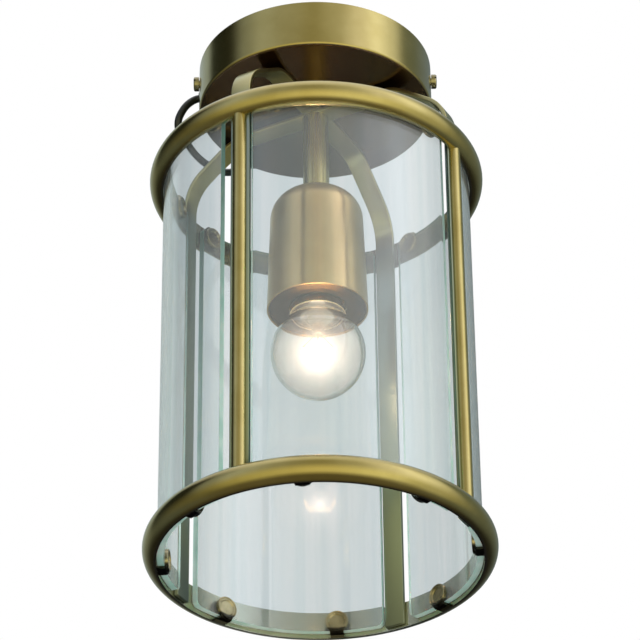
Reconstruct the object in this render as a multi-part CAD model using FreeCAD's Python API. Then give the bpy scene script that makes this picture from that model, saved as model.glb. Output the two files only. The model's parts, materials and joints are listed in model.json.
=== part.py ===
import FreeCAD, Part
import math
import os

# Porch ceiling lantern. Millimetres, +Z up. The origin is the centre of the ceiling
# bracket's back, on the ceiling; the lantern hangs from there towards -Z.
# An azimuth is in degrees, 0 towards the front (-Y) and positive towards +X.

Vector = FreeCAD.Vector
AXIS = Vector(0, 0, 1)
ORIGIN = Vector(0, 0, 0)

# ---- overall sizes -------------------------------------------------------------
overall_height = 277.0        # ceiling to the underside of the bottom ring
ring_outer_radius = 81.0
ring_height = 13.0            # both rings are a half-round bar, flat side inwards
ring_depth = 6.5
canopy_radius = 57.5
canopy_depth = 25.2
canopy_wall = 1.2
canopy_edge_radius = 1.6
ring_drop = 42.8              # canopy underside to the middle of the top ring

# ---- cage ----------------------------------------------------------------------
first_post_azimuth = -28.5
post_count = 4
strap_width = 10.0
strap_thickness = 2.0
strap_slope = 35.0            # fall of the strap's shoulder below level, degrees
shoulder_radius = 22.0        # bend from the shoulder into the upright leg
root_radius = 18.0            # bend from the level middle into the shoulder
leg_head_start = 8.0          # upright leg above the middle of the top ring
rod_width = 7.0
rod_depth = 3.5
foot_inset = 1.5              # ring's underside to the strap's end

# ---- glass and clips -----------------------------------------------------------
glass_thickness = 3.0
pane_strap_margin = 6.0       # neighbouring panes' gap less the strap's width
pane_settle = (-1.6, -1.0, -1.6, -2.0)   # degrees each pane has settled sideways
pane_corner_radius = 3.0
glass_inset = 2.2             # ring edge to glass edge, top and bottom
clip_thickness = 1.2
clip_neck_width = 6.5
clip_head_radius = 5.5
clip_dish_radius = 4.0
clip_dish_depth = 0.5
clip_bend_radius = 1.3
clip_edge_gap = 0.2           # glass edge to the clip's leg
bottom_clip_spread = 22.5     # degrees each side of a pane's middle
top_clip_spread = 32.0

# ---- centre fixing and lamp holder ---------------------------------------------
nipple_radius = 4.9
nipple_bore_radius = 3.5
nipple_top = 13.0             # end of the nipple above the canopy plate
nut_across_flats = 14.0
nut_thickness = 4.0
washer_radius = 9.0
washer_thickness = 1.0
stem_radius = 6.4
stem_wall = 1.3
stem_length = 46.8
sleeve_length = 65.2
sleeve_top_radius = 22.0
sleeve_mouth_radius = 24.2
sleeve_shoulder_radius = 14.0
sleeve_wall = 0.8
flange_radius = 14.0
flange_thickness = 1.5
collar_radius = 7.4
collar_length = 14.5
holder_screw_radius = 1.4
holder_screw_head_radius = 2.6
holder_screw_head_height = 1.6
porcelain_radius = 19.6
porcelain_shoulder = 3.0
porcelain_height = 39.5
porcelain_rim_inset = 1.7     # sleeve mouth to porcelain rim
socket_depth = 26.5
socket_rim_radius = 1.0       # rounding of the porcelain's mouth
shell_wall = 0.4
shell_inset = 1.0             # porcelain's mouth and floor to the shell
contact_thickness = 0.5
contact_width = 5.0
contact_rise = 3.9            # socket floor to the sprung leaf's face
contact_path = (-9.0, -4.5, -0.5, 4.0)   # leaf's corners across the socket
contact_bend = 1.5
terminal_length = 6.0
terminal_width = 5.0
wiring_slot_width = 6.0
wiring_slot_depth = 7.2
wiring_slot_end = 2.0         # terminal to the slot's end
terminal_offset = 3.0         # nipple to the terminals

# ---- bulb ----------------------------------------------------------------------
bulb_radius = 22.5
bulb_wall = 0.8
bulb_neck_radius = 12.9
bulb_neck_fillet = 6.0
cap_radius = 13.2
cap_wall = 0.35
cap_length = 22.5
cap_lip = 1.4                 # neck glass inside the cap
cap_cone_height = 2.5
cap_crown_radius = 9.3        # cap's small end, round the insulator
cap_shoulder_radius = 0.8
eyelet_radius = 4.8
eyelet_height = 1.4
eyelet_slope = 0.6
insulator_height = 2.6
insulator_radius = 8.4
insulator_depth = 1.2         # part of the insulator inside the cap
mount_top_radius = 2.6        # glass stem where it holds the wires
mount_waist_radius = 3.2
mount_flare_height = 8.0
mount_rim_height = 1.2
mount_tip_rise = 10.0         # middle of the bulb to the stem's tip
bulb_gap = 0.5                # holder's centre contact to the bulb's eyelet
filament_radius = 7.5
filament_wire = 0.5
filament_lift = 1.0           # filament's circle above the middle of the bulb
filament_span = 250.0         # degrees of the circle it takes
filament_swing = 1.4          # its zigzag above and below the circle
filament_bend = 1.0
filament_runs = 6
supported_points = (0, 1, 3, 5, 6)
support_wire = 0.45
wire_root_share = 0.2         # wires leave the glass stem at this share of the filament's radius

# ---- canopy inside -------------------------------------------------------------
bracket_width = 13.0
bracket_thickness = 2.0
bracket_tab = 11.0
bracket_bend_radius = 1.5
bracket_cable_hole = 6.0
ceiling_hole_spacing = 70.0
ceiling_hole_radius = 2.5
side_screw_drop = 6.0         # ceiling to the side screws' axis
side_screw_radius = 1.95
side_screw_head_radius = 3.6
side_screw_head_height = 2.6
side_screw_length = 8.0
side_screw_slot_width = 0.9
side_screw_slot_depth = 1.0
block_length = 27.0
block_width = 14.0
block_height = 12.0
block_offset = 24.0           # nipple to the terminal block's middle
block_pitch = 8.0
block_bore_radius = 1.6
block_well_radius = 2.1
wire_radius = 0.9
wire_spacing = 2.6
wire_bend_radius = 2.6
wire_clearance = 3.0          # nipple's end to the wires over it
block_edge_radius = 1.0
block_lead = 4.0              # straight wire out of the block
earth_stud_radius = 2.0
earth_stud_height = 10.5
earth_stud_place = (21.0, 3.0)

# ---- black flex loop behind the canopy ------------------------------------------
cord_radius = 1.9
cord_lead = 6.5                   # straight run out of each gland
gland_flange_radius = 3.2
gland_flange_thickness = 1.2
gland_waist_radius = 2.5
gland_tab_gap = 1.05              # bracket's turned-down end to the gland
cord_exit_z = -6.5                # height of the gland at the side
cord_return = (-154.0, -7.5)      # azimuth and height of the gland at the back
cord_route = (                    # azimuth, reach from the canopy's wall and height
    (-99.5, 12.0, -13.5),
    (-101.5, 13.0, -22.0),
    (-109.0, 11.5, -28.0),
    (-119.5, 10.0, -30.0),
    (-130.5, 10.0, -28.0),
    (-141.0, 11.5, -22.5),
    (-149.5, 12.0, -15.0),
)

# ---- clearances ----------------------------------------------------------------
seat_gap = 0.05               # pieces fixed to each other
glass_play = 0.3              # glass to the ring and to the clips
thread_gap = 0.05             # screw in its tapped hole
notch_gap = 0.35              # side screw in the canopy's open notch
head_gap = 0.3                # side screw head to the canopy
bulb_play = 0.3               # bulb cap in the screw shell

# ---- heights worked out from them -----------------------------------------------
plate_top = canopy_wall - canopy_depth
plate_bottom = -canopy_depth
top_ring_z = plate_bottom - ring_drop
bottom_ring_z = ring_height / 2 - overall_height
ring_inner_radius = ring_outer_radius - ring_depth
stem_top = plate_bottom - 2 * strap_thickness
stem_bottom = stem_top - stem_length
sleeve_bottom = stem_bottom - sleeve_length
porcelain_bottom = sleeve_bottom + porcelain_rim_inset
porcelain_top = porcelain_bottom + porcelain_height
flange_top = porcelain_top + flange_thickness
collar_top = flange_top + collar_length
nipple_bottom = collar_top - collar_length / 2
socket_floor = porcelain_bottom + socket_depth
shell_inner_radius = cap_radius + bulb_play
contact_tip_z = socket_floor - contact_rise
eyelet_top = contact_tip_z - bulb_gap
insulator_top = eyelet_top - eyelet_height
cap_top = insulator_top - insulator_height
cap_bottom = cap_top - cap_length
neck_rise = math.sqrt((bulb_radius + bulb_neck_fillet) ** 2 - (bulb_neck_radius + bulb_neck_fillet) ** 2)
bulb_centre_z = cap_bottom - seat_gap - neck_rise
glass_outer_radius = ring_inner_radius - glass_play
glass_inner_radius = glass_outer_radius - glass_thickness
glass_top = top_ring_z + ring_height / 2 - glass_inset
glass_bottom = bottom_ring_z - ring_height / 2 + glass_inset
strap_outer = math.sqrt(ring_inner_radius ** 2 - (strap_width / 2) ** 2) - seat_gap
strap_middle = strap_outer - strap_thickness / 2
post_step = 360.0 / post_count
pane_gap = strap_width + pane_strap_margin
mount_tip_z = bulb_centre_z + mount_tip_rise
cord_exit_offset = (bracket_width / 2 + gland_flange_radius + gland_tab_gap) / (canopy_radius - canopy_wall)
cord_exit = (-90.0 - math.degrees(math.asin(cord_exit_offset)), cord_exit_z)


def polar(azimuth, radius, z):
    """Point at an azimuth, radius and height."""
    angle = math.radians(azimuth)
    return Vector(radius * math.sin(angle), -radius * math.cos(angle), z)


def at_azimuth(shape, azimuth):
    """Copy of a shape drawn along +X, turned to an azimuth."""
    turned_shape = shape.copy()
    turned_shape.rotate(ORIGIN, AXIS, azimuth - 90)
    return turned_shape


def flat_point(x, z):
    """Point of the XZ drawing plane."""
    return Vector(x, 0, z)


def line(start, end):
    """Straight edge."""
    return Part.LineSegment(start, end).toShape()


def corner_arc(before, corner, after, radius):
    """Start, arc edge and end of the tangent arc that rounds a corner."""
    into = (corner - before).normalize()
    out = (after - corner).normalize()
    half_turn = into.getAngle(out) / 2
    setback = radius * math.tan(half_turn)
    start = corner - into * setback
    end = corner + out * setback
    inward = (out - into).normalize()
    middle = corner + inward * (radius / math.cos(half_turn) - radius)
    return start, Part.Arc(start, middle, end).toShape(), end


def rounded_path(corners, radii):
    """Straight runs joined by tangent arcs, one radius for each inner corner."""
    edges = []
    start = corners[0]
    for i, radius in enumerate(radii, 1):
        arc_start, arc, arc_end = corner_arc(corners[i - 1], corners[i], corners[i + 1], radius)
        edges += [line(start, arc_start), arc]
        start = arc_end
    edges.append(line(start, corners[-1]))
    return edges


def closed_outline(corners):
    """Face from corners (x, z, rounding radius) in the XZ plane."""
    points = [flat_point(x, z) for x, z, _ in corners]
    count = len(points)
    edges = []
    starts = []
    ends = []
    for i, (_, _, radius) in enumerate(corners):
        if radius:
            start, arc, end = corner_arc(points[i - 1], points[i], points[(i + 1) % count], radius)
            edges.append(arc)
        else:
            start = end = points[i]
        starts.append(start)
        ends.append(end)
    for i in range(count):
        edges.append(line(ends[i], starts[(i + 1) % count]))
    return Part.Face(Part.Wire(Part.__sortEdges__(edges)))


def turned(corners, degrees=360):
    """Piece turned about the lantern's axis from corners (radius, z, rounding)."""
    return closed_outline(corners).revolve(ORIGIN, AXIS, degrees)


def pipe_ring(outer_radius, inner_radius, low, high):
    """Plain round tube on the lantern's axis."""
    return turned([(inner_radius, low, 0), (outer_radius, low, 0), (outer_radius, high, 0),
                   (inner_radius, high, 0)])


def rod_between(start, end, radius):
    """Round bar from one point to another."""
    run = end - start
    return Part.makeCylinder(radius, run.Length, start, run)


def side_corners(corners, offset):
    """Corners of a path in the XZ plane moved sideways by an offset."""
    moved = []
    last = len(corners) - 1
    for i, corner in enumerate(corners):
        into = (corners[max(i, 1)] - corners[max(i - 1, 0)]).normalize()
        out = (corners[min(i + 1, last)] - corners[min(i, last - 1)]).normalize()
        share = offset / (1 + into.dot(out))
        moved.append(corner + flat_point(-(into.z + out.z) * share, (into.x + out.x) * share))
    return moved


def turn_sign(before, corner, after):
    """+1 where a path in the XZ plane turns to its left, -1 to its right."""
    into = corner - before
    out = after - corner
    return math.copysign(1, into.x * out.z - into.z * out.x)


def bent_strip(path, radii, thickness, width):
    """Flat bar bent along corners in the XZ plane, centred on y = 0."""
    corners = [flat_point(x, z) for x, z in path]
    sides = []
    for offset in (thickness / 2, -thickness / 2):
        side_radii = []
        for i, radius in enumerate(radii, 1):
            sign = turn_sign(corners[i - 1], corners[i], corners[i + 1])
            side_radii.append(radius - offset * sign)
        sides.append(rounded_path(side_corners(corners, offset), side_radii))
    left, right = sides
    first = line(left[0].Vertexes[0].Point, right[0].Vertexes[0].Point)
    final = line(left[-1].Vertexes[-1].Point, right[-1].Vertexes[-1].Point)
    face = Part.Face(Part.Wire(Part.__sortEdges__(left + right + [first, final])))
    face.translate(Vector(0, -width / 2, 0))
    return face.extrude(Vector(0, width, 0))


def tube_along(corners, radii, radius):
    """Round solid along straight runs and tangent arcs in space."""
    edges = rounded_path(corners, radii)
    run = corners[1] - corners[0]
    section = Part.Wire([Part.Circle(corners[0], run, radius).toShape()])
    solid = Part.Wire(edges).makePipeShell([section], True, False)
    expected = math.pi * radius ** 2 * sum(edge.Length for edge in edges)
    print("tube: volume %.1f, section times length %.1f" % (solid.Volume, expected))
    return solid


def hex_nut(across_flats, thickness, bore_radius, low):
    """Hexagon nut on the lantern's axis."""
    corner_radius = across_flats / 2 / math.cos(math.pi / 6)
    corners = [polar(60 * k, corner_radius, low) for k in range(7)]
    body = Part.Face(Part.makePolygon(corners)).extrude(Vector(0, 0, thickness))
    crown = corner_radius - across_flats / 2
    top = low + thickness
    rounding = turned([(0, low, 0), (across_flats / 2, low, 0), (corner_radius, low + crown / 2, 0),
                       (corner_radius, top - crown / 2, 0), (across_flats / 2, top, 0), (0, top, 0)])
    return body.common(rounding).cut(Part.makeCylinder(bore_radius, thickness, Vector(0, 0, low)))


# ---- ceiling bracket and side screws ---------------------------------------------

def ceiling_bracket():
    """Zinc-plated strip with two turned-down ends, tapped for the side screws."""
    end = math.sqrt((canopy_radius - canopy_wall - head_gap) ** 2 - (bracket_width / 2) ** 2)
    end -= bracket_thickness / 2 + seat_gap
    level = -bracket_thickness / 2
    strip = bent_strip([(-end, -bracket_tab), (-end, level), (end, level), (end, -bracket_tab)],
                       [bracket_bend_radius] * 2, bracket_thickness, bracket_width)
    holes = [(bracket_cable_hole, 0), (ceiling_hole_radius, -ceiling_hole_spacing / 2),
             (ceiling_hole_radius, ceiling_hole_spacing / 2)]
    for radius, x in holes:
        strip = strip.cut(Part.makeCylinder(radius, bracket_thickness, Vector(x, 0, -bracket_thickness)))
    tapped = Part.makeCylinder(side_screw_radius + thread_gap, 2 * canopy_radius,
                               Vector(-canopy_radius, 0, -side_screw_drop), Vector(1, 0, 0))
    return strip.cut(tapped)


def side_screw(azimuth):
    """Slotted pan-head screw through the canopy's notch into the bracket's end."""
    seat = canopy_radius + head_gap
    shank = Part.makeCylinder(side_screw_radius, side_screw_length, Vector(seat - side_screw_length, 0, 0),
                              Vector(1, 0, 0))
    head = Part.makeCylinder(side_screw_head_radius, side_screw_head_height, Vector(seat, 0, 0),
                             Vector(1, 0, 0))
    head = head.makeFillet(side_screw_head_height / 3, [head.Edges[0]])
    slot = Part.makeBox(side_screw_slot_depth, 2 * side_screw_head_radius, side_screw_slot_width,
                        Vector(seat + side_screw_head_height - side_screw_slot_depth,
                               -side_screw_head_radius, -side_screw_slot_width / 2))
    screw = shank.fuse(head).removeSplitter().cut(slot)
    screw.translate(Vector(0, 0, -side_screw_drop))
    return at_azimuth(screw, azimuth)


# ---- canopy and what is in it ------------------------------------------------------

def canopy():
    """Shallow turned cup, open to the ceiling, with notches for the side screws."""
    inner = canopy_radius - canopy_wall
    cup = turned([(nipple_radius + seat_gap, plate_bottom, 0),
                  (canopy_radius, plate_bottom, canopy_edge_radius), (canopy_radius, 0, 0), (inner, 0, 0),
                  (inner, plate_top, max(canopy_edge_radius - canopy_wall, seat_gap)),
                  (nipple_radius + seat_gap, plate_top, 0)])
    notch_radius = side_screw_radius + notch_gap
    notch = Part.makeCylinder(notch_radius, 2 * canopy_radius + 2,
                              Vector(-canopy_radius - 1, 0, -side_screw_drop), Vector(1, 0, 0))
    channel = Part.makeBox(2 * canopy_radius + 2, 2 * notch_radius, side_screw_drop,
                           Vector(-canopy_radius - 1, -notch_radius, -side_screw_drop))
    cup = cup.cut(notch.fuse(channel))
    for azimuth, z in (cord_exit, cord_return):
        hole = rod_between(polar(azimuth, canopy_radius - 3 * canopy_wall, z),
                           polar(azimuth, canopy_radius + canopy_wall, z), gland_waist_radius + seat_gap)
        cup = cup.cut(hole)
    return cup


def gland_seat_radii():
    """Radii of the flat seats of a gland's two flanges on the canopy's wall."""
    inner = math.sqrt((canopy_radius - canopy_wall) ** 2 - gland_flange_radius ** 2) - seat_gap
    return inner, canopy_radius + seat_gap


def cord_gland(azimuth, z):
    """Rubber gland with a flange each side of the canopy's wall."""
    inner, outer = gland_seat_radii()
    waist = Part.makeCylinder(gland_waist_radius, outer - inner, Vector(inner, 0, z), Vector(1, 0, 0))
    flanges = [Part.makeCylinder(gland_flange_radius, gland_flange_thickness, Vector(x, 0, z),
                                 Vector(1, 0, 0))
               for x in (inner - gland_flange_thickness, outer)]
    return at_azimuth(waist.fuse(flanges).removeSplitter(), azimuth)


def cord_corners():
    """Corners of the flex from one gland's outer face to the other's."""
    face = gland_seat_radii()[1] + gland_flange_thickness
    out = [polar(cord_exit[0], radius, cord_exit[1]) for radius in (face, face + cord_lead)]
    back = [polar(cord_return[0], radius, cord_return[1]) for radius in (face + cord_lead, face)]
    route = [polar(azimuth, canopy_radius + reach, z) for azimuth, reach, z in cord_route]
    return out + route + back


def feed_cord():
    """Short loop of round black flex held between the two glands."""
    corners = cord_corners()
    radii = []
    for before, corner, after in zip(corners, corners[1:], corners[2:]):
        into = corner - before
        out = after - corner
        shorter = min(into.Length, out.Length)
        radii.append(0.45 * shorter / math.tan(into.getAngle(out) / 2))
    print("cord radii:", " ".join("%.1f" % radius for radius in radii))
    return tube_along(corners, radii, cord_radius)


def terminal_block():
    """Three-way terminal block with wire bores and screw wells."""
    body = Part.makeBox(block_length, block_width, block_height,
                        Vector(-block_length / 2, block_offset - block_width / 2, plate_top))
    upright = [edge for edge in body.Edges if abs(edge.tangentAt(0).z) > 0.9]
    body = body.makeFillet(block_edge_radius, upright)
    bore_z = plate_top + block_height / 2
    for k in (-1, 0, 1):
        front = Vector(k * block_pitch, block_offset - block_width, bore_z)
        body = body.cut(Part.makeCylinder(block_bore_radius, 2 * block_width, front, Vector(0, 1, 0)))
        well = Part.makeCylinder(block_well_radius, block_height / 2,
                                 Vector(k * block_pitch, block_offset, bore_z))
        body = body.cut(well)
    return body


def terminal_block_screws():
    """The block's three clamp screws, down in their wells."""
    seat = plate_top + block_height / 2 + wire_radius + seat_gap
    radius = block_well_radius - seat_gap
    screws = []
    for k in (-1, 0, 1):
        screw = Part.makeCylinder(radius, block_height / 4, Vector(k * block_pitch, block_offset, seat))
        slot = Part.makeBox(2 * radius, side_screw_slot_width, side_screw_slot_depth,
                            Vector(k * block_pitch - radius, block_offset - side_screw_slot_width / 2,
                                   seat + block_height / 4 - side_screw_slot_depth))
        screws.append(screw.cut(slot))
    return Part.makeCompound(screws)


def supply_wire(side, way):
    """Single wire from the block, over and down the nipple, to a lamp holder terminal."""
    x = side * wire_spacing / 2
    block_face = block_offset - block_width / 2 + block_width / 4
    bore_z = block_bore_z()
    crest = plate_top + nipple_top + wire_clearance
    terminal_z = porcelain_top - wiring_slot_depth / 2
    corners = [Vector(way * block_pitch, block_face, bore_z),
               Vector(way * block_pitch, block_offset - block_width / 2 - block_lead, bore_z),
               Vector((x + way * block_pitch) / 2, nut_across_flats / 2, crest),
               Vector(x, 0, crest),
               Vector(x, 0, terminal_z),
               Vector(side * terminal_start(), 0, terminal_z)]
    return tube_along(corners, [wire_bend_radius] * 4, wire_radius)


def terminal_start():
    """Distance of the lamp holder's terminals from the axis."""
    return nipple_radius + terminal_offset


def block_bore_z():
    """Height of the terminal block's wire bores."""
    return plate_top + block_height / 2


def earth_wire():
    """Wire from the block's third way to the stud on the canopy."""
    x, y = earth_stud_place
    corners = [Vector(block_pitch, block_offset - block_width / 4, block_bore_z()),
               Vector(block_pitch, y, block_bore_z()),
               Vector(x - earth_stud_radius - seat_gap, y, block_bore_z())]
    return tube_along(corners, [wire_bend_radius], wire_radius)


def earth_stud():
    """Stud and nut welded to the inside of the canopy's plate."""
    x, y = earth_stud_place
    stud = Part.makeCylinder(earth_stud_radius, earth_stud_height, Vector(x, y, plate_top))
    nut = hex_nut(3.5 * earth_stud_radius, 1.6 * earth_stud_radius, earth_stud_radius / 2,
                  block_bore_z() + wire_radius + seat_gap)
    nut.translate(Vector(x, y, 0))
    return stud.fuse(nut).removeSplitter()


# ---- centre fixing -----------------------------------------------------------------

def threaded_nipple():
    """Hollow threaded tube that ties canopy, straps, stem and holder together."""
    return pipe_ring(nipple_radius, nipple_bore_radius, nipple_bottom, plate_top + nipple_top)


def nipple_washer():
    """Flat washer on the canopy's plate."""
    return pipe_ring(washer_radius, nipple_radius + seat_gap, plate_top, plate_top + washer_thickness)


def nipple_nut():
    """Lock nut that pulls the nipple up inside the canopy."""
    return hex_nut(nut_across_flats, nut_thickness, nipple_radius + thread_gap, plate_top + washer_thickness)


def stem_tube():
    """Spacer tube from the crossed straps down to the lamp holder's sleeve."""
    return pipe_ring(stem_radius, stem_radius - stem_wall, stem_bottom, stem_top)


# ---- cage ----------------------------------------------------------------------------

def half_round_ring(middle_z, growth=0.0, inner_radius=ring_inner_radius):
    """Half-round bar rolled into a ring with its flat side inwards."""
    half = ring_height / 2 + growth
    foot = flat_point(ring_inner_radius, middle_z - half)
    crest = flat_point(ring_outer_radius + growth, middle_z)
    head = flat_point(ring_inner_radius, middle_z + half)
    back_low = flat_point(inner_radius, middle_z - half)
    back_high = flat_point(inner_radius, middle_z + half)
    edges = [Part.Arc(foot, crest, head).toShape(), line(back_high, back_low)]
    if inner_radius < ring_inner_radius:
        edges += [line(back_low, foot), line(head, back_high)]
    return Part.Face(Part.Wire(Part.__sortEdges__(edges))).revolve(ORIGIN, AXIS, 360)


def post_azimuths():
    """Azimuths of the four posts."""
    return [first_post_azimuth + post_step * k for k in range(post_count)]


def cage_strap(azimuth, layer):
    """Bar bent into an upside-down U: level middle, sloping shoulders, upright legs."""
    level = plate_bottom - strap_thickness * (layer + 0.5)
    foot = bottom_ring_z - ring_height / 2 + foot_inset
    fall = math.tan(math.radians(strap_slope))
    bend_turn = math.radians(90 - strap_slope)
    corner_z = top_ring_z + leg_head_start + shoulder_radius * math.tan(bend_turn / 2)
    root_x = strap_middle - (level - corner_z) / fall
    path = [(-strap_middle, foot), (-strap_middle, corner_z), (-root_x, level),
            (root_x, level), (strap_middle, corner_z), (strap_middle, foot)]
    strap = bent_strip(path, [shoulder_radius, root_radius, root_radius, shoulder_radius],
                       strap_thickness, strap_width)
    strap = at_azimuth(strap, azimuth)
    return strap.cut(Part.makeCylinder(nipple_radius + seat_gap, 3 * strap_thickness,
                                       Vector(0, 0, level - strap_thickness)))


def upright_rod(azimuth):
    """Half-round rod over a strap's leg, its ends coped to fit the rings."""
    flat = strap_outer + seat_gap
    low = Vector(flat, -rod_width / 2, bottom_ring_z)
    high = Vector(flat, rod_width / 2, bottom_ring_z)
    crest = Vector(flat + rod_depth, 0, bottom_ring_z)
    face = Part.Face(Part.Wire([Part.Arc(low, crest, high).toShape(), line(high, low)]))
    rod = face.extrude(Vector(0, 0, top_ring_z - bottom_ring_z))
    behind = strap_middle - strap_thickness
    for z in (top_ring_z, bottom_ring_z):
        rod = rod.cut(half_round_ring(z, seat_gap, behind))
    return at_azimuth(rod, azimuth)


# ---- glass and clips -----------------------------------------------------------------

def pane_middle(k):
    """Azimuth of a pane's middle, between two posts."""
    return first_post_azimuth + post_step * (k + 0.5)


def glass_pane(k):
    """Curved pane with polished edges between two posts."""
    gap_angle = math.degrees(pane_gap / glass_outer_radius)
    span = post_step - gap_angle
    inner, outer = glass_inner_radius, glass_outer_radius
    pane = turned([(inner, glass_bottom, 0), (outer, glass_bottom, 0), (outer, glass_top, 0),
                   (inner, glass_top, 0)], span)
    corners = [edge for edge in pane.Edges if edge.Length < 2 * glass_thickness]
    pane = pane.makeFillet(pane_corner_radius, corners)
    return at_azimuth(pane, pane_middle(k) + pane_settle[k] - span / 2)


def glass_clip(azimuth, ring_z, way):
    """Tab from the ring, round the glass edge, with a dished round head inside."""
    head_outer = math.sqrt(glass_inner_radius ** 2 - clip_head_radius ** 2) - glass_play
    head_x = head_outer - clip_thickness / 2
    leg_z = ring_z + way * (ring_height / 2 - glass_inset + clip_edge_gap + clip_thickness / 2)
    tail_x = math.sqrt(ring_inner_radius ** 2 - (clip_neck_width / 2) ** 2) - seat_gap
    neck = bent_strip([(tail_x, leg_z), (head_x, leg_z), (head_x, ring_z)], [clip_bend_radius],
                      clip_thickness, clip_neck_width)
    head_seat = Vector(head_outer - clip_thickness, 0, ring_z)
    head = Part.makeCylinder(clip_head_radius, clip_thickness, head_seat, Vector(1, 0, 0))
    dish = Part.makeCone(clip_dish_radius, clip_dish_radius - clip_dish_depth, clip_dish_depth,
                         head_seat, Vector(1, 0, 0))
    below_leg = Part.makeBox(2 * clip_head_radius, 2 * clip_head_radius, clip_head_radius,
                             Vector(head_x - clip_head_radius, -clip_head_radius,
                                    leg_z + way * clip_thickness / 2 - (clip_head_radius if way < 0 else 0)))
    clip = neck.fuse(head.cut(below_leg)).cut(dish).removeSplitter()
    return at_azimuth(clip, azimuth)


def clip_set(ring_z, spread, way):
    """Two clips for each pane at one ring."""
    clips = []
    for k in range(post_count):
        for side in (-1, 1):
            clips.append(glass_clip(pane_middle(k) + side * spread, ring_z, way))
    return Part.makeCompound(clips)


# ---- lamp holder -----------------------------------------------------------------------

def holder_sleeve():
    """Brass cover of the lamp holder: domed shoulder, slightly flared mouth."""
    hole = nipple_radius + seat_gap
    return turned([(hole, stem_bottom, 0), (sleeve_top_radius, stem_bottom, sleeve_shoulder_radius),
                   (sleeve_mouth_radius, sleeve_bottom, 0),
                   (sleeve_mouth_radius - sleeve_wall, sleeve_bottom, 0),
                   (sleeve_top_radius - sleeve_wall, stem_bottom - sleeve_wall,
                    sleeve_shoulder_radius - sleeve_wall),
                   (hole, stem_bottom - sleeve_wall, 0)])


def sleeve_nut():
    """Lock nut under the sleeve's crown."""
    return hex_nut(nut_across_flats, nut_thickness, nipple_radius + thread_gap,
                   stem_bottom - sleeve_wall - nut_thickness)


def holder_flange():
    """Tapped collar and flange that carry the porcelain on the nipple."""
    bore = nipple_radius + thread_gap
    flange = turned([(bore, porcelain_top, 0), (flange_radius, porcelain_top, 0),
                     (flange_radius, flange_top, 0), (collar_radius, flange_top, 0),
                     (collar_radius, collar_top, 0), (bore, collar_top, 0)])
    for side in (-1, 1):
        flange = flange.cut(Part.makeCylinder(holder_screw_radius + seat_gap, flange_thickness,
                                              Vector(0, side * holder_screw_place(), porcelain_top)))
    return flange


def holder_screw_place():
    """Distance of the flange's two screws from the axis, along Y."""
    return (collar_radius + flange_radius) / 2


def holder_screws():
    """Two screws through the flange into the porcelain."""
    screws = []
    for side in (-1, 1):
        place = Vector(0, side * holder_screw_place(), 0)
        foot = place + Vector(0, 0, flange_top - wiring_slot_depth)
        shank = Part.makeCylinder(holder_screw_radius, wiring_slot_depth, foot)
        head = Part.makeCylinder(holder_screw_head_radius, holder_screw_head_height,
                                 place + Vector(0, 0, flange_top))
        slot = Part.makeBox(2 * holder_screw_head_radius, side_screw_slot_width, side_screw_slot_depth,
                            place + Vector(-holder_screw_head_radius, -side_screw_slot_width / 2,
                                           flange_top + holder_screw_head_height - side_screw_slot_depth))
        screws.append(shank.fuse(head).removeSplitter().cut(slot))
    return Part.makeCompound(screws)


def porcelain_body():
    """Porcelain body with the socket below and a wiring slot above."""
    socket_radius = shell_inner_radius + shell_wall + seat_gap
    body = turned([(0, socket_floor, 0), (socket_radius, socket_floor, 0),
                   (socket_radius, porcelain_bottom, 0),
                   (porcelain_radius, porcelain_bottom, socket_rim_radius),
                   (porcelain_radius, porcelain_top, porcelain_shoulder),
                   (0, porcelain_top, 0)])
    slot_length = 2 * (terminal_start() + terminal_length + wiring_slot_end)
    body = body.cut(Part.makeBox(slot_length, wiring_slot_width, wiring_slot_depth,
                                 Vector(-slot_length / 2, -wiring_slot_width / 2,
                                        porcelain_top - wiring_slot_depth)))
    for side in (-1, 1):
        foot = Vector(0, side * holder_screw_place(), porcelain_top - wiring_slot_depth)
        body = body.cut(Part.makeCylinder(holder_screw_radius + seat_gap, wiring_slot_depth, foot))
    return body


def holder_terminals():
    """Two brass terminals in the wiring slot."""
    height = wiring_slot_depth - 2 * seat_gap
    blocks = []
    for side in (-1, 1):
        middle = side * (terminal_start() + seat_gap + terminal_length / 2)
        blocks.append(Part.makeBox(terminal_length, terminal_width, height,
                                   Vector(middle - terminal_length / 2, -terminal_width / 2,
                                          porcelain_top - wiring_slot_depth + seat_gap)))
    return Part.makeCompound(blocks)


def screw_shell():
    """Thin metal shell of the socket that takes the bulb's cap."""
    outer = shell_inner_radius + shell_wall
    return pipe_ring(outer, shell_inner_radius, porcelain_bottom + shell_inset, socket_floor - shell_inset)


def centre_contact():
    """Sprung leaf on the socket's floor that meets the bulb's eyelet."""
    root = socket_floor - contact_thickness / 2 - seat_gap
    tip = contact_tip_z + contact_thickness / 2
    path = list(zip(contact_path, (root, root, tip, tip)))
    return bent_strip(path, [contact_bend] * 2, contact_thickness, contact_width)


# ---- bulb ---------------------------------------------------------------------------------

def bulb_outline(wall):
    """Pole, arcs and neck point of the bulb's outline, moved inwards by a wall."""
    radius = bulb_radius - wall
    fillet = bulb_neck_fillet + wall
    neck = bulb_neck_radius - wall
    centre = flat_point(0, bulb_centre_z)
    fillet_centre = flat_point(neck + fillet, bulb_centre_z + neck_rise)
    pole = centre - flat_point(0, radius)
    side = centre + flat_point(radius, 0)
    meeting = centre + (fillet_centre - centre).normalize() * radius
    throat = fillet_centre - flat_point(fillet, 0)
    toward = (centre - fillet_centre).normalize()
    bisector = (toward + flat_point(-1, 0)).normalize()
    middle = fillet_centre + bisector * fillet
    arcs = [Part.Arc(pole, side, meeting).toShape(), Part.Arc(meeting, middle, throat).toShape()]
    return pole, arcs, throat


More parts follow.
